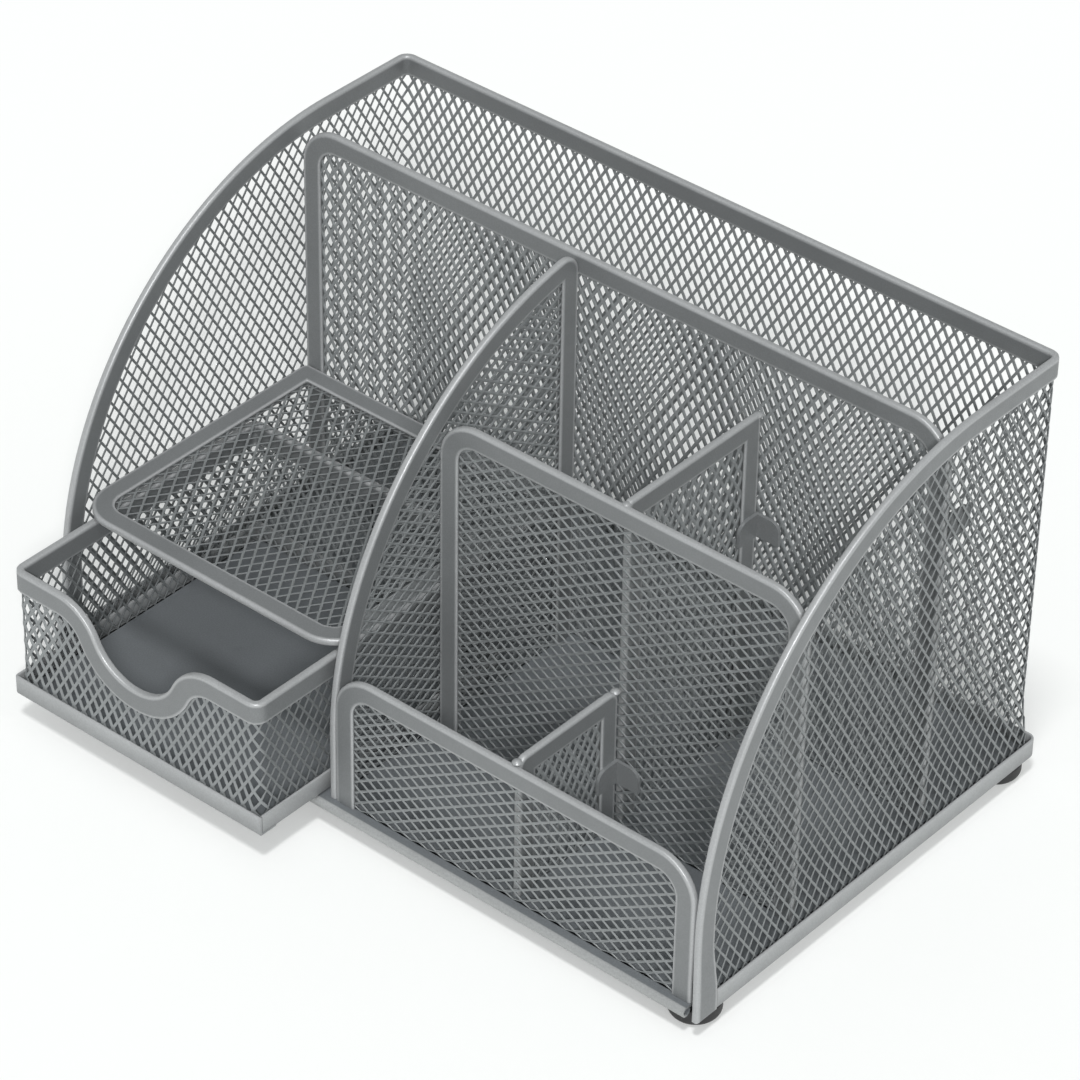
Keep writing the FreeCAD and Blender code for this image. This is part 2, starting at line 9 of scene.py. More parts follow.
import bpy
import numpy as np
from mathutils import Euler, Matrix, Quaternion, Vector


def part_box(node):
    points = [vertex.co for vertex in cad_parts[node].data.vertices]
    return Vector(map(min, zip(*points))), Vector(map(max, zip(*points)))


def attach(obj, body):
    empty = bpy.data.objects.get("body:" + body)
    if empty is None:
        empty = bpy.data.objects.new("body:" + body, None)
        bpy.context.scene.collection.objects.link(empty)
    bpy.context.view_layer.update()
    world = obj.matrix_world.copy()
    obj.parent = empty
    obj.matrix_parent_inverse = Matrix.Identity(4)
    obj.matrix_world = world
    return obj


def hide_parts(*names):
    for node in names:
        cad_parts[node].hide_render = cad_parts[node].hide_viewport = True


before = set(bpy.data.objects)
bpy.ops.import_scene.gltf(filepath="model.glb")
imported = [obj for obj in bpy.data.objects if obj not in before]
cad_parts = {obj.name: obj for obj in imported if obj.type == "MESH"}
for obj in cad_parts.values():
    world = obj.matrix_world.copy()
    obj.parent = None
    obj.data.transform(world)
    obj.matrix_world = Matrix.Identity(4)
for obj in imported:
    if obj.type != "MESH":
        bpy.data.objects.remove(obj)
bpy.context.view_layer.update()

# The expanded metal: the pitches of its cells, and the opening's size as a share of its cell's
LONG_WAY = 0.0058
SHORT_WAY = 0.0036
OPENING_SHARE = 0.76
SHEET_THICKNESS = 0.0005
# How far its strands are twisted out of the sheet, with the long way upright and with it level
LOUVRE = 0.00016
LEVEL_LOUVRE = -0.00005

# The folded strip, the drawer's, which is a little bigger, and how far inside them their sheets end
STRIP_WIDTH = 0.006
STRIP_THICKNESS = 0.002
DRAWER_STRIP_WIDTH = 0.0065
DRAWER_STRIP_THICKNESS = 0.0022
FOLD_RADIUS = 0.0006
SLOT_WIDTH = 0.0007
SLOT_DEPTH = 0.0012
LEG_EDGE_RADIUS = 0.0003
SHEET_EDGE_INSET = 0.0016

# How finely curves and straights are drawn: steps to an arc, and the longest step along a straight,
# which is shorter where the straight is bent or splayed afterwards
ARC_STEPS = 10
SHOULDER_STEPS = 48
FOLD_STEPS = 6
STRAIGHT_STEP = 0.012
BEND_STEP = 0.0012
# A turn smaller than this is straight, no bend is tighter than the smallest radius, and an edge of more
# degrees than the sharp angle stays sharp when shaded
STRAIGHT_TURN = 1e-6
SMALLEST_RADIUS = 0.00015
SHARP_ANGLE = 40.0
SHEET_SHARP_ANGLE = 75.0

# The case: its shoulders and the bend of its back corners
SIDE_ARC_RADIUS = 0.105
WALL_BEND_RADIUS = 0.0025
# The foot of its walls, splayed fully below the low height and not at all above the high one
SPLAY_LOW = 0.0095
SPLAY_HIGH = 0.026
TOE_REACH = 0.002
# The rim round the foot of its walls, and the gap between pieces that only touch
RIM_PLAN_RADIUS = 0.0025
RIM_WALL = 0.0008
RIM_EDGE_RADIUS = 0.00035
RIM_GAP = 0.0005
SEAT_GAP = 0.0001

# Corner radii of the panels and the shelf
PANEL_RADIUS = 0.012
PARTITION_REAR_RADIUS = 0.005
PARTITION_REAR_RUN = 0.0068
REAR_SMALL_RADIUS = 0.0015
FRONT_SMALL_RADIUS = 0.003
SHELF_FRONT_RADIUS = 0.0115
SHELF_REAR_RADIUS = 0.002

# The drawer: its bent walls, and the rim round its foot, whose ends meet in a seam
DRAWER_CORNER_RADIUS = 0.004
DRAWER_RIM_RADIUS = 0.001
DRAWER_RIM_PROUD = 0.0006
DRAWER_LIP = 0.0061
DRAWER_SPLAY = 0.0004
DRAWER_SPLAY_RISE = 0.005
RIM_SEAM = 0.0002

# The floor and its rolled front edge
ROLL_DIAMETER = 0.003
ROLL_TURN = math.radians(320)
ROLL_STEPS = 28
ROLL_WALL_SHARE = 0.7
FLOOR_THICKNESS = 0.0008
FLOOR_COLUMNS = 41
FLOOR_LEDGE = 0.0001

# The rubber feet
FOOT_RADIUS = 0.007
FOOT_SOLE_RADIUS = 0.0046
FOOT_SOLE_RING = 0.6
FOOT_SIDE_HEIGHT = 0.0024
FOOT_EDGE = 0.0004
FOOT_SEGMENTS = 40

# The weld beads
BEAD_WIDTH = 0.0028
BEAD_HEIGHT = 0.0016
BEAD_DROP = 0.0009
BEAD_SEGMENTS = 12

# The finger notch in the drawer's front
NOTCH_HALF_WIDTH = 0.01375
NOTCH_DEPTH = 0.0175
NOTCH_FLANK_RUN = 0.0082
NOTCH_ARC_RADIUS = 0.015

# The paints' colours, and the paler colours of the painted highlight on their folds and edges
# The strip's colour is darker than the mesh's, though both are one paint: painted shade on the strips'
# flat faces
STRIP_SHADED_COLOUR = (0.195, 0.204, 0.208)
STRIP_HIGHLIGHT_COLOUR = (0.42, 0.43, 0.435)
MESH_COLOUR = (0.24, 0.254, 0.258)
PLATE_COLOUR = (0.165, 0.178, 0.188)
PLATE_HIGHLIGHT_COLOUR = (0.33, 0.34, 0.34)
# How much of the painted highlight colour each part of a section takes
FOLD_HIGHLIGHT = 0.8
CHANNEL_FOOT_HIGHLIGHT = 0.3
CHANNEL_UNDER_HIGHLIGHT = 0.2
BEAD_HIGHLIGHT = 0.6

# The powder coat: each noise is a scale and a detail, and is used between the low and the high value
COAT_METALLIC = 0.25
COAT_SPECULAR = 0.5
FOLDED_ROUGHNESS = 0.40
MESH_ROUGHNESS = 0.45
NOISE_LOW = 0.3
NOISE_HIGH = 0.7
FLECK = 0.08
PLATE_FLECK = 0.10
FLECK_NOISE = (2600.0, 2.0)
PATCH_NOISE = (35.0, 3.0)
PATCH_STRENGTH = 0.05
ROUGHNESS_NOISE = (300.0, 2.0)
SMOOTHER = 0.05
ROUGHER = 0.07
GRAIN_NOISE = (1800.0, 3.0)
GRAIN_STRENGTH = 0.35
GRAIN_DEPTH = 0.00008

# The rubber: its noise, the colours between which it moves, its roughness and its grain
RUBBER_NOISE = (900.0, 4.0)
RUBBER_BLACK = (0.008, 0.008, 0.009)
RUBBER_DUST = (0.03, 0.03, 0.031)
RUBBER_SMOOTHEST = 0.5
RUBBER_ROUGHEST = 0.75
RUBBER_GRAIN_STRENGTH = 0.4
RUBBER_GRAIN_DEPTH = 0.0001

# The camera, fitted to the photograph, with its lens for a 36 mm wide picture
LENS = 159.23
SENSOR = 36.0
CAMERA_TARGET = (0.00452, 0.00436, 0.065)
CAMERA_DISTANCE = 1.2329
CAMERA_AZIMUTH = 40.166
CAMERA_ELEVATION = 36.429
CAMERA_ROLL = 0.986

# The studio
FLOOR_REACH = 4.0
FLOOR_COLOUR = (0.82, 0.83, 0.82)
FLOOR_ROUGHNESS = 0.9
FLOOR_SPECULAR = 0.1
FLOOR_GLOW = 0.08
WORLD_COLOUR = (0.97, 1.0, 1.0)
WORLD_LIGHT = 0.32
# Each lamp: azimuth and elevation of where its light comes from, strength, and width in degrees
LAMPS = (
    ("key_lamp", 25.0, 74.0, 1.2, 10.0),
    ("fill_lamp", 44.0, 36.5, 2.3, 9.0),
)


def quarter_turn(steps):
    """Angles from nought to a right angle in equal steps."""
    return np.linspace(0, math.pi / 2, steps + 1)


def rounded_path(corners, inset=0.0, closed=False, straight_step=STRAIGHT_STEP):
    """Points along a line through (u, v, radius) corners, moved to its right-hand side by inset.

    Each corner is moved by inset times the sum of its two normals over one plus their product. An arc
    point is start + radius (sin t along + (1 - cos t) sideways), with t from nought to the turn. Right
    turns lose inset from their radius and left turns gain it, so every inset gives as many points.
    """
    spots = np.array([corner[:2] for corner in corners], float)
    ahead = np.roll(spots, -1, axis=0) - spots
    lengths = np.linalg.norm(ahead, axis=1)
    ahead = ahead / lengths[:, None]
    if not closed:
        ahead[-1] = ahead[-2]
    behind = np.roll(ahead, 1, axis=0)
    if not closed:
        behind[0] = ahead[0]
    right_ahead = np.stack([ahead[:, 1], -ahead[:, 0]], 1)
    right_behind = np.stack([behind[:, 1], -behind[:, 0]], 1)
    spread = 1 + (right_ahead * right_behind).sum(1)
    moved = spots + inset * (right_ahead + right_behind) / spread[:, None]
    turns = np.arctan2(
        behind[:, 0] * ahead[:, 1] - behind[:, 1] * ahead[:, 0], (behind * ahead).sum(1)
    )
    runs = []
    for index, corner in enumerate(corners):
        turn = turns[index]
        if abs(turn) < STRAIGHT_TURN:
            runs.append(moved[index][None])
            continue
        radius = max(corner[2] + math.copysign(inset, turn), SMALLEST_RADIUS)
        tangent = radius * math.tan(abs(turn) / 2)
        start = moved[index] - behind[index] * tangent
        steps = SHOULDER_STEPS if corner[2] > SIDE_ARC_RADIUS / 2 else ARC_STEPS
        t = np.linspace(0, abs(turn), steps + 1)[:, None]
        sideways = -math.copysign(1.0, turn) * right_behind[index]
        runs.append(start + radius * (np.sin(t) * behind[index] + (1 - np.cos(t)) * sideways))
    points = []
    last = len(runs) if closed else len(runs) - 1
    for index, run in enumerate(runs):
        points.append(run)
        if index < last:
            following = runs[(index + 1) % len(runs)][0]
            parts = max(math.ceil(lengths[index] / straight_step), 1)
            share = np.linspace(0, 1, parts + 1)[1:-1, None]
            points.append(run[-1] + share * (following - run[-1]))
    return np.concatenate(points)


def grid_faces(rows, columns, rows_closed, columns_closed):
    """The quads of a grid of points numbered row by row, joined round where a direction is closed."""
    i = np.arange(rows if rows_closed else rows - 1)[:, None]
    j = np.arange(columns if columns_closed else columns - 1)[None]
    i_next = (i + 1) % rows
    j_next = (j + 1) % columns
    corners = [i * columns + j, i_next * columns + j, i_next * columns + j_next, i * columns + j_next]
    return np.stack([np.broadcast_to(corner, (i.size, j.size)) for corner in corners], -1).reshape(-1, 4)


def signed_volume(points, faces):
    """Six times the volume inside a closed mesh, from the triangles that fan out of each face."""
    corners = points[faces]
    first = np.cross(corners[:, 1], corners[:, 2])
    second = np.cross(corners[:, 2], corners[:, 3])
    return ((corners[:, 0] * first).sum(1) + (corners[:, 0] * second).sum(1)).sum()


def piece(name, points, faces, caps, material, body, stands_for, highlight=None,
          sharp_angle=SHARP_ANGLE):
    """A mesh object from points, quads and end caps, turned outwards, that rides on its body and
    replaces the nodes it stands for. The highlight is each point's share of the paint's painted
    highlight colour, kept in the attribute named edge."""
    if signed_volume(points - points.mean(0), faces) < 0:
        faces = faces[:, ::-1]
        caps = [cap[::-1] for cap in caps]
    mesh = bpy.data.meshes.new(name)
    mesh.from_pydata(points, [], faces.tolist() + [list(map(int, cap)) for cap in caps])
    if highlight is not None:
        layer = mesh.attributes.new("edge", "FLOAT", "POINT")
        layer.data.foreach_set("value", np.ascontiguousarray(highlight, dtype=np.float32))
    mesh.shade_smooth()
    mesh.set_sharp_from_angle(angle=math.radians(sharp_angle))
    mesh.materials.append(material)
    thing = bpy.data.objects.new(name, mesh)
    bpy.context.scene.collection.objects.link(thing)
    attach(thing, body)
    if stands_for:
        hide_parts(*stands_for)


def inside(points, polygon):
    """Which points lie inside a polygon, by how many of its sides a level line to the right crosses."""
    start = polygon
    end = np.roll(polygon, -1, axis=0)
    u = points[:, :1]
    v = points[:, 1:]
    crosses = (start[:, 1] > v) != (end[:, 1] > v)
    rise = end[:, 1] - start[:, 1]
    rise = np.where(rise == 0, 1, rise)
    reach = start[:, 0] + (end[:, 0] - start[:, 0]) * (v - start[:, 1]) / rise
    return (crosses & (u < reach)).sum(1) % 2 == 1


def nearest(points, polygon):
    """The nearest point of a polygon's outline to each point."""
    start = polygon
    along = np.roll(polygon, -1, axis=0) - start
    offset = points[:, None] - start
    share = (offset * along).sum(-1) / (along * along).sum(-1)
    feet = start + np.clip(share, 0, 1)[..., None] * along
    best = np.linalg.norm(feet - points[:, None], axis=-1).argmin(1)
    return feet[np.arange(len(points)), best]


def expanded_metal(polygon, upright, louvre):
    """Points (u, v, w) and quads of expanded metal inside an outline.

    Cells are rhombi on the even squares of a chequerboard of half pitches, and meet at its odd squares.
    Each cell is a ring between its rhombus and the same rhombus times the opening's share. To the front
    and to the back, the ring stands half the sheet's thickness off the middle along the rhombus and a
    quarter of it along the opening. The opening's two corners across the short way are pushed up and
    down by louvre, as the cut and stretched strands are twisted. What falls outside the outline is
    moved to the nearest point on it.
    """
    pitch = np.array([SHORT_WAY, LONG_WAY] if upright else [LONG_WAY, SHORT_WAY]) / 2
    low = np.floor(polygon.min(0) / pitch).astype(int) - 1
    high = np.ceil(polygon.max(0) / pitch).astype(int) + 1
    across, up = np.meshgrid(np.arange(low[0], high[0] + 1), np.arange(low[1], high[1] + 1))
    cells = np.stack([across, up], -1)[(across + up) % 2 == 0]
    sides = np.array([(1, 0), (0, 1), (-1, 0), (0, -1)])
    corners = cells[:, None] + sides
    kept = inside((corners * pitch).reshape(-1, 2), polygon).reshape(-1, 4).any(1)
    cells = cells[kept]
    corners = corners[kept]
    nodes, which = np.unique(corners.reshape(-1, 2), axis=0, return_inverse=True)
    which = which.reshape(-1, 4)
    openings = (cells[:, None] + OPENING_SHARE * sides).reshape(-1, 2)
    flat = np.concatenate([nodes, openings]) * pitch
    outside = ~inside(flat, polygon)
    flat[outside] = nearest(flat[outside], polygon)
    short = 0 if upright else 1
    lift = np.concatenate([np.zeros(len(nodes)), np.tile(-louvre * sides[:, short], len(cells))])
    lift[outside] = 0
    half = np.concatenate([
        np.full(len(nodes), SHEET_THICKNESS / 2), np.full(len(openings), SHEET_THICKNESS / 4)
    ])
    front = np.column_stack([flat, lift + half])
    back = np.column_stack([flat, lift - half])
    hole = len(nodes) + np.arange(len(openings)).reshape(-1, 4)
    under = len(flat)
    faces = []
    rim_edges = []
    for k in range(4):
        m = (k + 1) % 4
        faces.append(np.stack([which[:, k], which[:, m], hole[:, m], hole[:, k]], 1))
        faces.append(np.stack([which[:, m], which[:, k], hole[:, k], hole[:, m]], 1) + [under] * 4)
        faces.append(np.stack([hole[:, k], hole[:, m], hole[:, m] + under, hole[:, k] + under], 1))
        rim_edges.append(np.stack([which[:, m], which[:, k]], 1))
    rim_edges = np.concatenate(rim_edges)
    ends = np.sort(rim_edges, axis=1)
    _, first, counts = np.unique(ends, axis=0, return_index=True, return_counts=True)
    open_edges = rim_edges[first[counts == 1]]
    faces.append(np.column_stack([open_edges, open_edges[:, 1] + under, open_edges[:, 0] + under]))
    return np.concatenate([front, back]), np.concatenate(faces)


def strip_section(width, thickness):
    """The section of a folded strip as (inset, w, edge) rows, going round, edge being each point's share
    of painted highlight.

    The fold is flat in front, between two quarter circles of the fold's radius. Each leg ends in a
    small quarter circle, and between the legs a slot takes the sheet. A bend's point is its centre +
    radius (-sin t, cos t) at the fold and (sin t, cos t) at the leg's end. The fold and the legs' ends
    are painted with highlight. Near each bend a point stands on the legs' flat faces, so that these
    are shaded flat and take no painted highlight.
    """
    half = thickness / 2
    bend = FOLD_RADIUS
    slot = SLOT_WIDTH / 2
    r = LEG_EDGE_RADIUS
    quarter = quarter_turn(FOLD_STEPS // 2)
    fold = [(bend - bend * math.sin(t), half - bend + bend * math.cos(t), FOLD_HIGHLIGHT) for t in quarter]
    fold += [(inset, -w, edge) for inset, w, edge in reversed(fold)]
    leg = [(width - r + r * math.sin(t), half - r + r * math.cos(t), FOLD_HIGHLIGHT) for t in quarter]
    upper = [(2 * bend, half, 0.0), (width - 3 * r, half, 0.0)] + leg
    upper += [(width, slot, 0.0), (width - SLOT_DEPTH, slot, 0.0)]
    lower = [(inset, -w, edge) for inset, w, edge in upper]
    return np.array(fold + lower + upper[::-1])


def swept(corners, section, place, closed=False, straight_step=STRAIGHT_STEP):
    """A section carried along a rounded path, each of its points at its own inset: the points, quads,
    end caps and painted highlight shares that make a piece."""
    paths = [rounded_path(corners, inset, closed, straight_step) for inset in section[:, 0]]
    flat = np.stack(paths)
    w = np.broadcast_to(section[:, 1, None], flat.shape[:2])
    points = np.stack(place(flat[..., 0], flat[..., 1], w), -1).reshape(-1, 3)
    rows, columns = flat.shape[:2]
    faces = grid_faces(rows, columns, True, closed)
    caps = []
    if not closed:
        ring = np.arange(rows) * columns
        caps = [ring[::-1], ring + columns - 1]
    highlight = np.repeat(section[:, 2], columns)
    return points, faces, caps, highlight


def across_x(y):
    """Places a panel that stands across the case: u along X, v along Z, w towards the back."""
    return lambda u, v, w: (u, y + w, v)


def across_y(x):
    """Places a panel that runs from front to back: u along Y, v along Z, w along X."""
    return lambda u, v, w: (x + w, u, v)


def level(z):
    """Places a panel that lies level: u along X, v along Y, w up."""
    return lambda u, v, w: (u, v, z + w)


def bent(plan, closed=False):
    """Places a sheet bent round a plan path: u along the path, v along Z, w to its left-hand side.

    The point is path(u) + w side(u), where side is the path's unit normal, both read off between the
    path's own points. Also gives the path's whole length.
    """
    loop = np.concatenate([plan, plan[:1]]) if closed else plan
    steps = np.diff(loop, axis=0)
    lengths = np.linalg.norm(steps, axis=1)
    steps = steps / lengths[:, None]
    travelled = np.concatenate([[0], np.cumsum(lengths)])
    if closed:
        before = np.concatenate([steps[-1:], steps])
        after = np.concatenate([steps, steps[:1]])
    else:
        before = np.concatenate([steps[:1], steps])
        after = np.concatenate([steps, steps[-1:]])
    mean = before + after
    mean = mean / np.linalg.norm(mean, axis=1)[:, None]
    side = np.stack([-mean[:, 1], mean[:, 0]], 1)

    def place(u, v, w):
        x = np.interp(u, travelled, loop[:, 0]) + w * np.interp(u, travelled, side[:, 0])
        y = np.interp(u, travelled, loop[:, 1]) + w * np.interp(u, travelled, side[:, 1])
        return x, y, v

    return place, travelled[-1]


def soft_step(share):
    """A soft S: nought below 0, one above 1, and share squared times (3 - 2 share) between."""
    share = np.clip(share, 0, 1)
    return share * share * (3 - 2 * share)


def flared(place, low, high, reach):
    """The same placing, moved sideways by reach below low and not at all above high, in a soft S."""
    return lambda u, v, w: place(u, v, w + reach * soft_step((high - v) / (high - low)))


def sheet(name, polygon, place, upright, louvre, paint, body, stands_for):
    """A piece of expanded metal laid on a panel."""
    flat, faces = expanded_metal(polygon, upright, louvre)
    points = np.stack(place(flat[:, 0], flat[:, 1], flat[:, 2]), -1)
    piece(name, points, faces, [], paint, body, stands_for, sharp_angle=SHEET_SHARP_ANGLE)


def folded(name, corners, place, paint, stands_for, closed=False):
    """A folded strip of the case along the edges of a panel."""
    section = strip_section(STRIP_WIDTH, STRIP_THICKNESS)
    points, faces, caps, highlight = swept(corners, section, place, closed)
    piece(name, points, faces, caps, paint, "case", stands_for, highlight)


def arch(low, high, bottom, top, low_radius, high_radius):
    """The corners of an upright panel: up its low side, over its top and down its high side."""
    return [(low, bottom, 0), (low, top, low_radius), (high, top, high_radius), (high, bottom, 0)]


def divider(name, place, axis, radius, upright, paints):
    """The expanded metal and the folded strip of an upright panel that runs along one axis."""
    low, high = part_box(name + "_frame")
    corners = arch(low[axis], high[axis], low.z, high.z, radius, radius)
    outline = rounded_path(corners, SHEET_EDGE_INSET)
    louvre = LOUVRE if upright else LEVEL_LOUVRE
    sheet(name + "_sheet", outline, place, upright, louvre, paints["sheet"], "case", [name + "_mesh"])
    folded(name + "_fold", corners, place, paints["strip"], [name + "_frame"])


def middle(node, axis):
    """The middle of a node along one axis."""
    low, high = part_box(node)
    return (low[axis] + high[axis]) / 2


def reach(node, axis):
    """The lowest and highest place of a node along one axis."""
    low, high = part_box(node)
    return low[axis], high[axis]


def new_material(name):
    """A material with its nodes, its links and its own shader."""
    material = bpy.data.materials.new(name)
    material.use_nodes = True
    nodes = material.node_tree.nodes
    return material, nodes, material.node_tree.links, nodes["Principled BSDF"]


def noise(nodes, links, scale_and_detail):
    """Noise on the object's own coordinates, at a scale and with a detail."""
    scale, detail = scale_and_detail
    coordinates = nodes.new("ShaderNodeTexCoord")
    texture = nodes.new("ShaderNodeTexNoise")
    texture.inputs["Scale"].default_value = scale
    texture.inputs["Detail"].default_value = detail
    links.new(coordinates.outputs["Object"], texture.inputs["Vector"])
    return texture.outputs["Fac"]


def between(nodes, links, value, from_low, from_high, to_low, to_high):
    """A value moved from one range to another."""
    limits = nodes.new("ShaderNodeMapRange")
    limits.inputs["From Min"].default_value = from_low
    limits.inputs["From Max"].default_value = from_high
    limits.inputs["To Min"].default_value = to_low
    limits.inputs["To Max"].default_value = to_high
    links.new(value, limits.inputs["Value"])
    return limits.outputs["Result"]


def grained(nodes, links, shader, height, strength, depth):
    """A bumpy skin on a shader, from a height."""
    bump = nodes.new("ShaderNodeBump")
    bump.inputs["Strength"].default_value = strength
    bump.inputs["Distance"].default_value = depth
    links.new(height, bump.inputs["Height"])
    links.new(bump.outputs["Normal"], shader.inputs["Normal"])


def painted(name, colour, highlight_colour, roughness, fleck):
    """Silver-grey powder coat: fine flecks and cloudy patches in the colour, a grainy skin, and, unless
    both colours are the same, a painted highlight in the paler colour where the edge attribute asks for
    it."""
    material, nodes, links, shader = new_material(name)
    shader.inputs["Metallic"].default_value = COAT_METALLIC
    shader.inputs["Specular IOR Level"].default_value = COAT_SPECULAR

    def spread(scale_and_detail, low, high):
        value = noise(nodes, links, scale_and_detail)
        return between(nodes, links, value, NOISE_LOW, NOISE_HIGH, low, high)

    flecks = spread(FLECK_NOISE, 1 - fleck, 1 + fleck)
    patches = spread(PATCH_NOISE, 1 - PATCH_STRENGTH, 1 + PATCH_STRENGTH)
    product = nodes.new("ShaderNodeMath")
    product.operation = "MULTIPLY"
    links.new(flecks, product.inputs[0])
    links.new(patches, product.inputs[1])
    base = nodes.new("ShaderNodeMix")
    base.data_type = "RGBA"
    base.inputs["A"].default_value = (*colour, 1)
    base.inputs["B"].default_value = (*highlight_colour, 1)
    # The edge attribute mixes in the paler colour: painted highlight on folds, edges and beads
    edges = nodes.new("ShaderNodeAttribute")
    edges.attribute_name = "edge"
    links.new(edges.outputs["Fac"], base.inputs["Factor"])
    tinted = nodes.new("ShaderNodeVectorMath")
    tinted.operation = "SCALE"
    links.new(base.outputs["Result"], tinted.inputs[0])
    links.new(product.outputs["Value"], tinted.inputs["Scale"])
    links.new(tinted.outputs["Vector"], shader.inputs["Base Color"])
    rough = spread(ROUGHNESS_NOISE, roughness - SMOOTHER, roughness + ROUGHER)
    links.new(rough, shader.inputs["Roughness"])
    grained(nodes, links, shader, noise(nodes, links, GRAIN_NOISE), GRAIN_STRENGTH, GRAIN_DEPTH)
    return material


def rubber(name):
    """Matt black rubber with a faint moulded grain and a little dust."""
    material, nodes, links, shader = new_material(name)
    grain = noise(nodes, links, RUBBER_NOISE)
    dust = nodes.new("ShaderNodeValToRGB")
    dust.color_ramp.elements[0].color = (*RUBBER_BLACK, 1)
    dust.color_ramp.elements[1].color = (*RUBBER_DUST, 1)
    links.new(grain, dust.inputs["Fac"])
    links.new(dust.outputs["Color"], shader.inputs["Base Color"])
    rough = between(nodes, links, grain, 0.0, 1.0, RUBBER_SMOOTHEST, RUBBER_ROUGHEST)
    links.new(rough, shader.inputs["Roughness"])
    grained(nodes, links, shader, grain, RUBBER_GRAIN_STRENGTH, RUBBER_GRAIN_DEPTH)
    return material


def wall_placing():
    """Places the case's wall sheet, bent from the left front toe round the back to the right one. Also
    gives its whole length."""
    left = middle("left_wall_mesh", 0)
    right = middle("right_wall_mesh", 0)
    back = middle("back_wall_mesh", 1)
    toe = reach("left_side_frame", 1)[0] - TOE_REACH
    plan = rounded_path([
        (left, toe, 0), (left, back, WALL_BEND_RADIUS), (right, back, WALL_BEND_RADIUS), (right, toe, 0),
    ])
    return bent(plan)


def case_walls(paints):
    """The wall mesh, one sheet bent round the two back corners with its foot splayed into the base rim,
    and the strip folded over its whole edge. At each front foot the strip widens forwards to a toe, by
    the toe's reach times the splay's share and the strip's share from its inner to its outer edge."""
    place, length = wall_placing()
    top = reach("left_side_frame", 2)[1]
    bottom = reach("base_rim", 2)[0]
    splay = reach("base_rim", 0)[1] - middle("right_wall_mesh", 0) - STRIP_THICKNESS / 2
    front = TOE_REACH
    end = length - TOE_REACH
    corners = arch(front, end, bottom, top, SIDE_ARC_RADIUS, SIDE_ARC_RADIUS)
    raised = arch(front, end, bottom + RIM_WALL + SEAT_GAP, top, SIDE_ARC_RADIUS, SIDE_ARC_RADIUS)
    sheet_place = flared(place, SPLAY_LOW, SPLAY_HIGH, splay - RIM_GAP / 2)
    sheet("wall_sheet", rounded_path(raised, SHEET_EDGE_INSET), sheet_place, True, LOUVRE,
          paints["sheet"], "case", ["left_wall_mesh", "right_wall_mesh", "back_wall_mesh"])
    splayed = flared(place, SPLAY_LOW, SPLAY_HIGH, splay)

    def toed(u, v, w):
        share = soft_step((SPLAY_HIGH - v) / (SPLAY_HIGH - SPLAY_LOW))
        from_left = np.clip(1 - (u - front) / STRIP_WIDTH, 0, 1)
        from_right = np.clip(1 - (end - u) / STRIP_WIDTH, 0, 1)
        return splayed(u + TOE_REACH * share * (from_right - from_left), v, w)

    section = strip_section(STRIP_WIDTH, STRIP_THICKNESS)
    points, faces, caps, highlight = swept(corners, section, toed, straight_step=BEND_STEP)
    piece("wall_fold", points, faces, caps, paints["strip"], "case",
          ["left_side_frame", "right_side_frame", "back_top_rail"], highlight)


def gutter_section(low_z, high_z, depth):
    """The section of a gutter as (inset, z, edge) rows, edge being each point's share of painted
    highlight: an upstanding wall with a round top, a rounded foot and a flange that runs in under the
    floor. A point is centre - radius (sin t, cos t) round the foot and centre + radius (cos t, sin t)
    over the top."""
    r = RIM_EDGE_RADIUS
    bend = 2 * r
    half_turn = np.linspace(0, math.pi, FOLD_STEPS + 1)
    lip = RIM_WALL / 2
    section = [(bend - bend * math.sin(t), low_z + bend - bend * math.cos(t), CHANNEL_FOOT_HIGHLIGHT)
               for t in reversed(quarter_turn(FOLD_STEPS // 2))]
    section += [
        (depth - r, low_z, CHANNEL_UNDER_HIGHLIGHT),
        (depth, low_z + r, CHANNEL_FOOT_HIGHLIGHT),
        (depth, low_z + RIM_WALL, 0.0),
        (RIM_WALL + r, low_z + RIM_WALL, 0.0),
        (RIM_WALL, low_z + RIM_WALL + r, 0.0),
    ]
    section += [(lip + lip * math.cos(t), high_z - lip + lip * math.sin(t), FOLD_HIGHLIGHT)
                for t in half_turn]
    return np.array(section)


def base_channel(paint):
    """The gutter round the foot of the walls, from behind the left side strip round to the right one."""
    low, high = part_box("base_rim")
    front = reach("left_side_frame", 1)[0] + STRIP_WIDTH - SEAT_GAP
    section = gutter_section(low.z, high.z, STRIP_WIDTH)
    corners = [
        (low.x, front, 0), (low.x, high.y, RIM_PLAN_RADIUS), (high.x, high.y, RIM_PLAN_RADIUS),
        (high.x, front, 0),
    ]
    points, faces, caps, highlight = swept(corners, section, level(0.0))
    piece("base_channel", points, faces, caps, paint, "case", ["base_rim"], highlight)


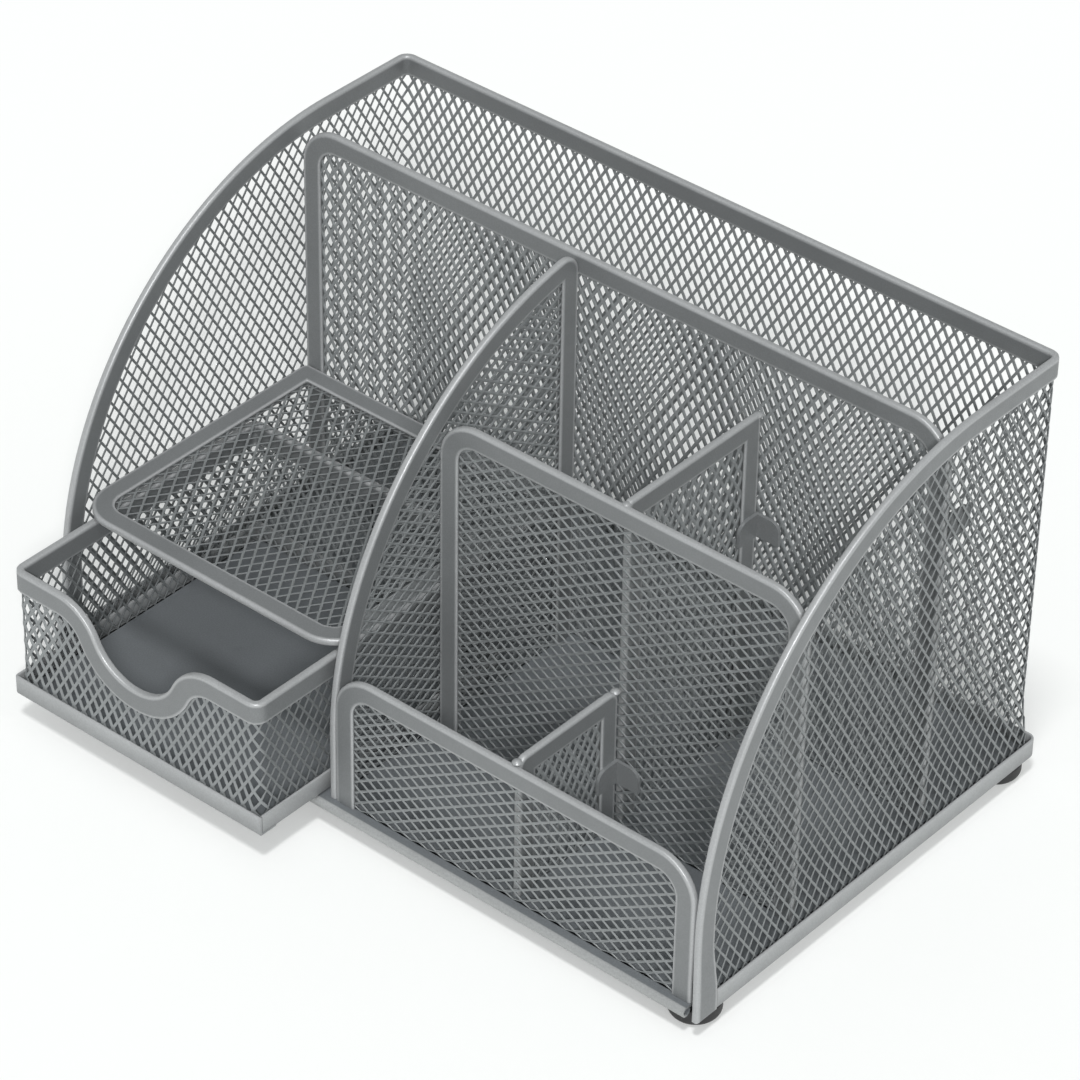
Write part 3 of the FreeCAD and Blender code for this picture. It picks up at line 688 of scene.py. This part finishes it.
def floor_sheet(paint):
    """The floor: a plain sheet whose front edge is rolled down and round into an open bead.

    Its outline in (y, z) goes from the back over the top, round the roll and back under it. The roll is
    centre + radius (-sin t, cos t) at its outer and its inner radius, with t from nought to the roll's
    turn. Each outline point runs from side to side, less far between the side strips than behind them.
    """
    low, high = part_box("floor_plate")
    bead = ROLL_DIAMETER / 2
    thick = FLOOR_THICKNESS
    centre_y = low.y + bead
    centre_z = high.z - bead
    curl = np.linspace(0, ROLL_TURN, ROLL_STEPS)
    outer = np.stack([centre_y - bead * np.sin(curl), centre_z + bead * np.cos(curl)], 1)
    inner_radius = bead - thick * ROLL_WALL_SHARE
    inner = np.stack([centre_y - inner_radius * np.sin(curl), centre_z + inner_radius * np.cos(curl)], 1)
    ledge = reach("left_side_frame", 1)[0] + STRIP_WIDTH + SEAT_GAP
    ahead = ledge - FLOOR_LEDGE
    top = np.array([(high.y, high.z), (ledge, high.z), (ahead, high.z)])
    under = np.array([(ahead, high.z - thick), (ledge, high.z - thick), (high.y, high.z - thick)])
    outline = np.concatenate([top, outer, inner[::-1], under])
    narrow = reach("back_top_rail", 0)[1] - SEAT_GAP
    half = np.where(outline[:, 0] < ledge - FLOOR_LEDGE / 2, narrow, high.x)
    share = np.linspace(-1, 1, FLOOR_COLUMNS)
    x = half[:, None] * share
    y = np.broadcast_to(outline[:, :1], x.shape)
    z = np.broadcast_to(outline[:, 1:], x.shape)
    points = np.stack([x, y, z], -1).reshape(-1, 3)
    rows, columns = x.shape
    faces = grid_faces(rows, columns, True, False)
    ring = np.arange(rows) * columns
    # The rolled bead takes the full paler colour, a painted highlight, and the flat floor none
    highlight = np.repeat(np.where(outline[:, 0] < centre_y, 1.0, 0.0), columns)
    piece("floor_sheet", points, faces, [ring[::-1], ring + columns - 1], paint, "case",
          ["floor_plate"], highlight)


def partition(paints):
    """The middle partition, whose strip follows the sides' curve and turns down at the rear divider.

    The curve leaves the vertical at start and has turned by acos(1 - run / radius) where its level run
    leaves PARTITION_REAR_RUN for the rear corner. Its own corner stands radius tan(turn / 2) above the
    start, and from there a line as steep as the curve's end goes on to the rear edge.
    """
    low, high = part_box("partition_frame")
    place = across_y(middle("partition_frame", 0))
    start = reach("left_side_frame", 2)[1] - SIDE_ARC_RADIUS
    depth = high.y - low.y
    turn = math.acos(1 - (depth - PARTITION_REAR_RUN) / SIDE_ARC_RADIUS)
    corner_z = start + SIDE_ARC_RADIUS * math.tan(turn / 2)
    corners = [
        (low.y, low.z, 0),
        (low.y, corner_z, SIDE_ARC_RADIUS),
        (high.y, corner_z + depth / math.tan(turn), PARTITION_REAR_RADIUS),
        (high.y, low.z, 0),
    ]
    sheet("partition_sheet", rounded_path(corners, SHEET_EDGE_INSET), place, False, LEVEL_LOUVRE,
          paints["sheet"], "case", ["partition_mesh"])
    folded("partition_fold", corners, place, paints["strip"], ["partition_frame"])


def shelf(paints):
    """The shelf over the drawer, with a strip folded round all its edges."""
    low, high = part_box("shelf_frame")
    place = level(middle("shelf_frame", 2))
    corners = [
        (low.x, low.y, SHELF_FRONT_RADIUS), (low.x, high.y, SHELF_REAR_RADIUS),
        (high.x, high.y, SHELF_REAR_RADIUS), (high.x, low.y, SHELF_FRONT_RADIUS),
    ]
    sheet("shelf_sheet", rounded_path(corners, SHEET_EDGE_INSET, True), place, True, LOUVRE,
          paints["sheet"], "case", ["shelf_mesh"])
    folded("shelf_fold", corners, place, paints["strip"], ["shelf_frame"], closed=True)


def drawer_plan(inset):
    """The drawer's outline seen from above, clockwise from the middle of its back."""
    low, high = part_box("drawer_top_rim")
    middle_x = (low.x + high.x) / 2
    r = DRAWER_CORNER_RADIUS
    corners = [
        (middle_x, high.y, 0), (high.x, high.y, r), (high.x, low.y, r), (low.x, low.y, r),
        (low.x, high.y, r),
    ]
    return rounded_path(corners, DRAWER_RIM_PROUD + inset, True, BEND_STEP)


def drawer_edge(length):
    """The corners of the drawer's upper edge, unrolled from the middle of its back all the way round.

    The notch is four corners: shoulders and heels half a flank run outside and inside its half width.
    """
    top = reach("drawer_top_rim", 2)[1]
    middle_u = length / 2
    shoulder = NOTCH_HALF_WIDTH + NOTCH_FLANK_RUN / 2
    heel = NOTCH_HALF_WIDTH - NOTCH_FLANK_RUN / 2
    return [
        (0, top, 0),
        (middle_u - shoulder, top, NOTCH_ARC_RADIUS),
        (middle_u - heel, top - NOTCH_DEPTH, NOTCH_ARC_RADIUS),
        (middle_u + heel, top - NOTCH_DEPTH, NOTCH_ARC_RADIUS),
        (middle_u + shoulder, top, NOTCH_ARC_RADIUS),
        (length, top, 0),
    ]


def drawer_strip(paint, edge, place):
    """The strip folded over the drawer's upper edge. It goes once round and its two ends are joined at
    the middle of the back, where the last column of points falls on the first one."""
    section = strip_section(DRAWER_STRIP_WIDTH, DRAWER_STRIP_THICKNESS)
    points = swept(edge, section, place, False, BEND_STEP)[0]
    rows = len(section)
    columns = len(points) // rows - 1
    points = points.reshape(rows, -1, 3)[:, :columns].reshape(-1, 3)
    faces = grid_faces(rows, columns, True, True)
    highlight = np.repeat(section[:, 2], columns)
    piece("drawer_top_fold", points, faces, [], paint, "drawer", ["drawer_top_rim"],
          highlight)


def drawer_walls(paints):
    """The drawer's sheet, bent round its four corners and splayed into the rim round its foot, and the
    strip over its upper edge."""
    plan = drawer_plan(DRAWER_STRIP_THICKNESS / 2)
    place, length = bent(plan, True)
    edge = drawer_edge(length)
    low, high = reach("drawer_bottom_rim", 2)
    upper = rounded_path(edge, SHEET_EDGE_INSET, False, BEND_STEP)
    foot = low + RIM_WALL + SEAT_GAP
    outline = np.concatenate([upper, [(length, foot), (0, foot)]])
    splayed = flared(place, high, high + DRAWER_SPLAY_RISE, DRAWER_SPLAY)
    sheet("drawer_sheet", outline, splayed, True, LOUVRE, paints["sheet"], "drawer",
          ["drawer_front_mesh", "drawer_back_mesh", "drawer_left_mesh", "drawer_right_mesh"])
    drawer_strip(paints["strip"], edge, place)


def drawer_channel(paint):
    """The gutter round the drawer's foot. Its ends meet at the front right corner, where a thin seam
    shows between the front's end and the right side."""
    low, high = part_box("drawer_bottom_rim")
    r = DRAWER_RIM_RADIUS
    corners = [
        (high.x, low.y, 0), (low.x, low.y, r), (low.x, high.y, r), (high.x, high.y, r),
        (high.x, low.y + RIM_WALL + RIM_SEAM, 0),
    ]
    section = gutter_section(low.z, high.z, DRAWER_LIP)
    points, faces, caps, highlight = swept(corners, section, level(0.0))
    piece("drawer_channel", points, faces, caps, paint, "drawer", ["drawer_bottom_rim"],
          highlight)


def weld_beads(paint):
    """Beads of weld where the small dividers' strips meet the panels in front of and behind them. Each
    is its centre + half its size times (cos a cos b, sin a cos b, sin b), with a going round and b from
    pole to pole."""
    around = np.arange(BEAD_SEGMENTS) * 2 * math.pi / BEAD_SEGMENTS
    rise = np.linspace(-math.pi / 2, math.pi / 2, BEAD_SEGMENTS // 2 + 1)[:, None]
    spots = []
    for node in ("front_small_divider_frame", "rear_small_divider_frame"):
        low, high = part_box(node)
        spots += [((low.x + high.x) / 2, y, high.z - BEAD_DROP) for y in (low.y, high.y)]
    points = []
    faces = []
    for x, y, z in spots:
        ball = np.stack([
            x + BEAD_WIDTH / 2 * np.cos(around) * np.cos(rise),
            y + BEAD_WIDTH / 2 * np.sin(around) * np.cos(rise),
            z + BEAD_HEIGHT / 2 * np.sin(rise) * np.ones(BEAD_SEGMENTS),
        ], -1)
        faces.append(grid_faces(len(rise), BEAD_SEGMENTS, False, True) + len(points) * ball[..., 0].size)
        points.append(ball.reshape(-1, 3))
    # Each bead takes part of the paler colour all over, a painted highlight
    highlight = np.full(len(spots) * ball[..., 0].size, BEAD_HIGHLIGHT)
    piece("weld_beads", np.concatenate(points), np.concatenate(faces), [], paint, "case",
          [], highlight)


def feet(paint):
    """Four domed rubber feet: a profile turned about each foot's axis, from the middle of the sole over
    a rounded side to the flat top. The side's radius goes from the sole's to the foot's with sin b and
    its height from nought to the side's with 1 - cos b, b going from nought to a right angle."""
    low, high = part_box("rubber_feet")
    bend = quarter_turn(ARC_STEPS)
    radius = np.concatenate([
        [0.0, FOOT_SOLE_RADIUS * FOOT_SOLE_RING],
        FOOT_SOLE_RADIUS + (FOOT_RADIUS - FOOT_SOLE_RADIUS) * np.sin(bend),
        [FOOT_RADIUS, FOOT_RADIUS - FOOT_EDGE, 0.0],
    ])
    height = np.concatenate([
        [0.0, 0.0], FOOT_SIDE_HEIGHT * (1 - np.cos(bend)),
        [high.z - FOOT_EDGE, high.z, high.z],
    ])
    turns = np.arange(FOOT_SEGMENTS) * 2 * math.pi / FOOT_SEGMENTS
    points = []
    faces = []
    rows = len(radius)
    columns = FOOT_SEGMENTS
    for x in (low.x + FOOT_RADIUS, high.x - FOOT_RADIUS):
        for y in (low.y + FOOT_RADIUS, high.y - FOOT_RADIUS):
            ring_x = x + radius[:, None] * np.cos(turns)
            ring_y = y + radius[:, None] * np.sin(turns)
            ring_z = np.broadcast_to(height[:, None], ring_x.shape)
            faces.append(grid_faces(rows, columns, False, True) + len(points) * rows * columns)
            points.append(np.stack([ring_x, ring_y, ring_z], -1).reshape(-1, 3))
    piece("domed_feet", np.concatenate(points), np.concatenate(faces), [], paint, "case",
          ["rubber_feet"])


def studio():
    """A pale floor that glows a little to the camera and in reflections, so that it is white where
    nothing shades it, and two soft lamps in an evenly lit room."""
    material, nodes, links, shader = new_material("studio_floor")
    shader.inputs["Base Color"].default_value = (*FLOOR_COLOUR, 1)
    shader.inputs["Roughness"].default_value = FLOOR_ROUGHNESS
    shader.inputs["Specular IOR Level"].default_value = FLOOR_SPECULAR
    rays = nodes.new("ShaderNodeLightPath")
    seen = nodes.new("ShaderNodeMath")
    seen.operation = "MAXIMUM"
    links.new(rays.outputs["Is Camera Ray"], seen.inputs[0])
    links.new(rays.outputs["Is Glossy Ray"], seen.inputs[1])
    glow = nodes.new("ShaderNodeMath")
    glow.operation = "MULTIPLY"
    glow.inputs[1].default_value = FLOOR_GLOW
    links.new(seen.outputs["Value"], glow.inputs[0])
    shader.inputs["Emission Color"].default_value = (1, 1, 1, 1)
    links.new(glow.outputs["Value"], shader.inputs["Emission Strength"])
    mesh = bpy.data.meshes.new("studio_floor")
    r = FLOOR_REACH
    mesh.from_pydata([(-r, -r, 0), (r, -r, 0), (r, r, 0), (-r, r, 0)], [], [(0, 1, 2, 3)])
    mesh.materials.append(material)
    floor = bpy.data.objects.new("studio_floor", mesh)
    bpy.context.scene.collection.objects.link(floor)
    for name, azimuth, elevation, strength, width in LAMPS:
        lamp = bpy.data.lights.new(name, "SUN")
        lamp.energy = strength
        lamp.angle = math.radians(width)
        thing = bpy.data.objects.new(name, lamp)
        thing.rotation_euler = (math.radians(90 - elevation), 0, math.radians(azimuth))
        bpy.context.scene.collection.objects.link(thing)
    world = bpy.data.worlds.new("studio")
    world.use_nodes = True
    background = world.node_tree.nodes["Background"]
    background.inputs["Color"].default_value = (*WORLD_COLOUR, 1)
    background.inputs["Strength"].default_value = WORLD_LIGHT
    bpy.context.scene.world = world


def camera():
    """The camera on a sphere round its target, by azimuth and elevation, then rolled."""
    azimuth = math.radians(CAMERA_AZIMUTH)
    elevation = math.radians(CAMERA_ELEVATION)
    data = bpy.data.cameras.new("camera")
    data.lens = LENS
    data.sensor_width = SENSOR
    thing = bpy.data.objects.new("camera", data)
    x, y, z = CAMERA_TARGET
    level_reach = CAMERA_DISTANCE * math.cos(elevation)
    thing.location = (
        x + level_reach * math.sin(azimuth),
        y - level_reach * math.cos(azimuth),
        z + CAMERA_DISTANCE * math.sin(elevation),
    )
    thing.rotation_mode = "QUATERNION"
    aim = Euler((math.pi / 2 - elevation, 0, azimuth)).to_quaternion()
    thing.rotation_quaternion = aim @ Quaternion((0, 0, 1), math.radians(CAMERA_ROLL))
    bpy.context.scene.collection.objects.link(thing)
    bpy.context.scene.camera = thing


strip_paint = painted("strip_coat", STRIP_SHADED_COLOUR, STRIP_HIGHLIGHT_COLOUR, FOLDED_ROUGHNESS, FLECK)
sheet_paint = painted("mesh_coat", MESH_COLOUR, MESH_COLOUR, MESH_ROUGHNESS, FLECK)
plate_paint = painted("plate_coat", PLATE_COLOUR, PLATE_HIGHLIGHT_COLOUR, FOLDED_ROUGHNESS, PLATE_FLECK)
paints = {"sheet": sheet_paint, "strip": strip_paint}

case_walls(paints)
base_channel(strip_paint)
floor_sheet(plate_paint)
for name, upright in (("rear_divider", True), ("second_divider", False), ("front_panel", False)):
    divider(name, across_x(middle(name + "_frame", 1)), 0, PANEL_RADIUS, upright, paints)
for name, radius in (
    ("rear_small_divider", REAR_SMALL_RADIUS), ("front_small_divider", FRONT_SMALL_RADIUS),
):
    divider(name, across_y(middle(name + "_frame", 0)), 1, radius, True, paints)
partition(paints)
shelf(paints)
drawer_walls(paints)
drawer_channel(strip_paint)
weld_beads(strip_paint)
feet(rubber("foot_rubber_black"))

# Two pieces stay as they are packed and only get paint
for node, paint in (("angle_tabs", strip_paint), ("drawer_floor", plate_paint)):
    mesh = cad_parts[node].data
    mesh.materials.clear()
    mesh.materials.append(paint)

studio()
camera()
bpy.context.scene.view_settings.view_transform = "Standard"
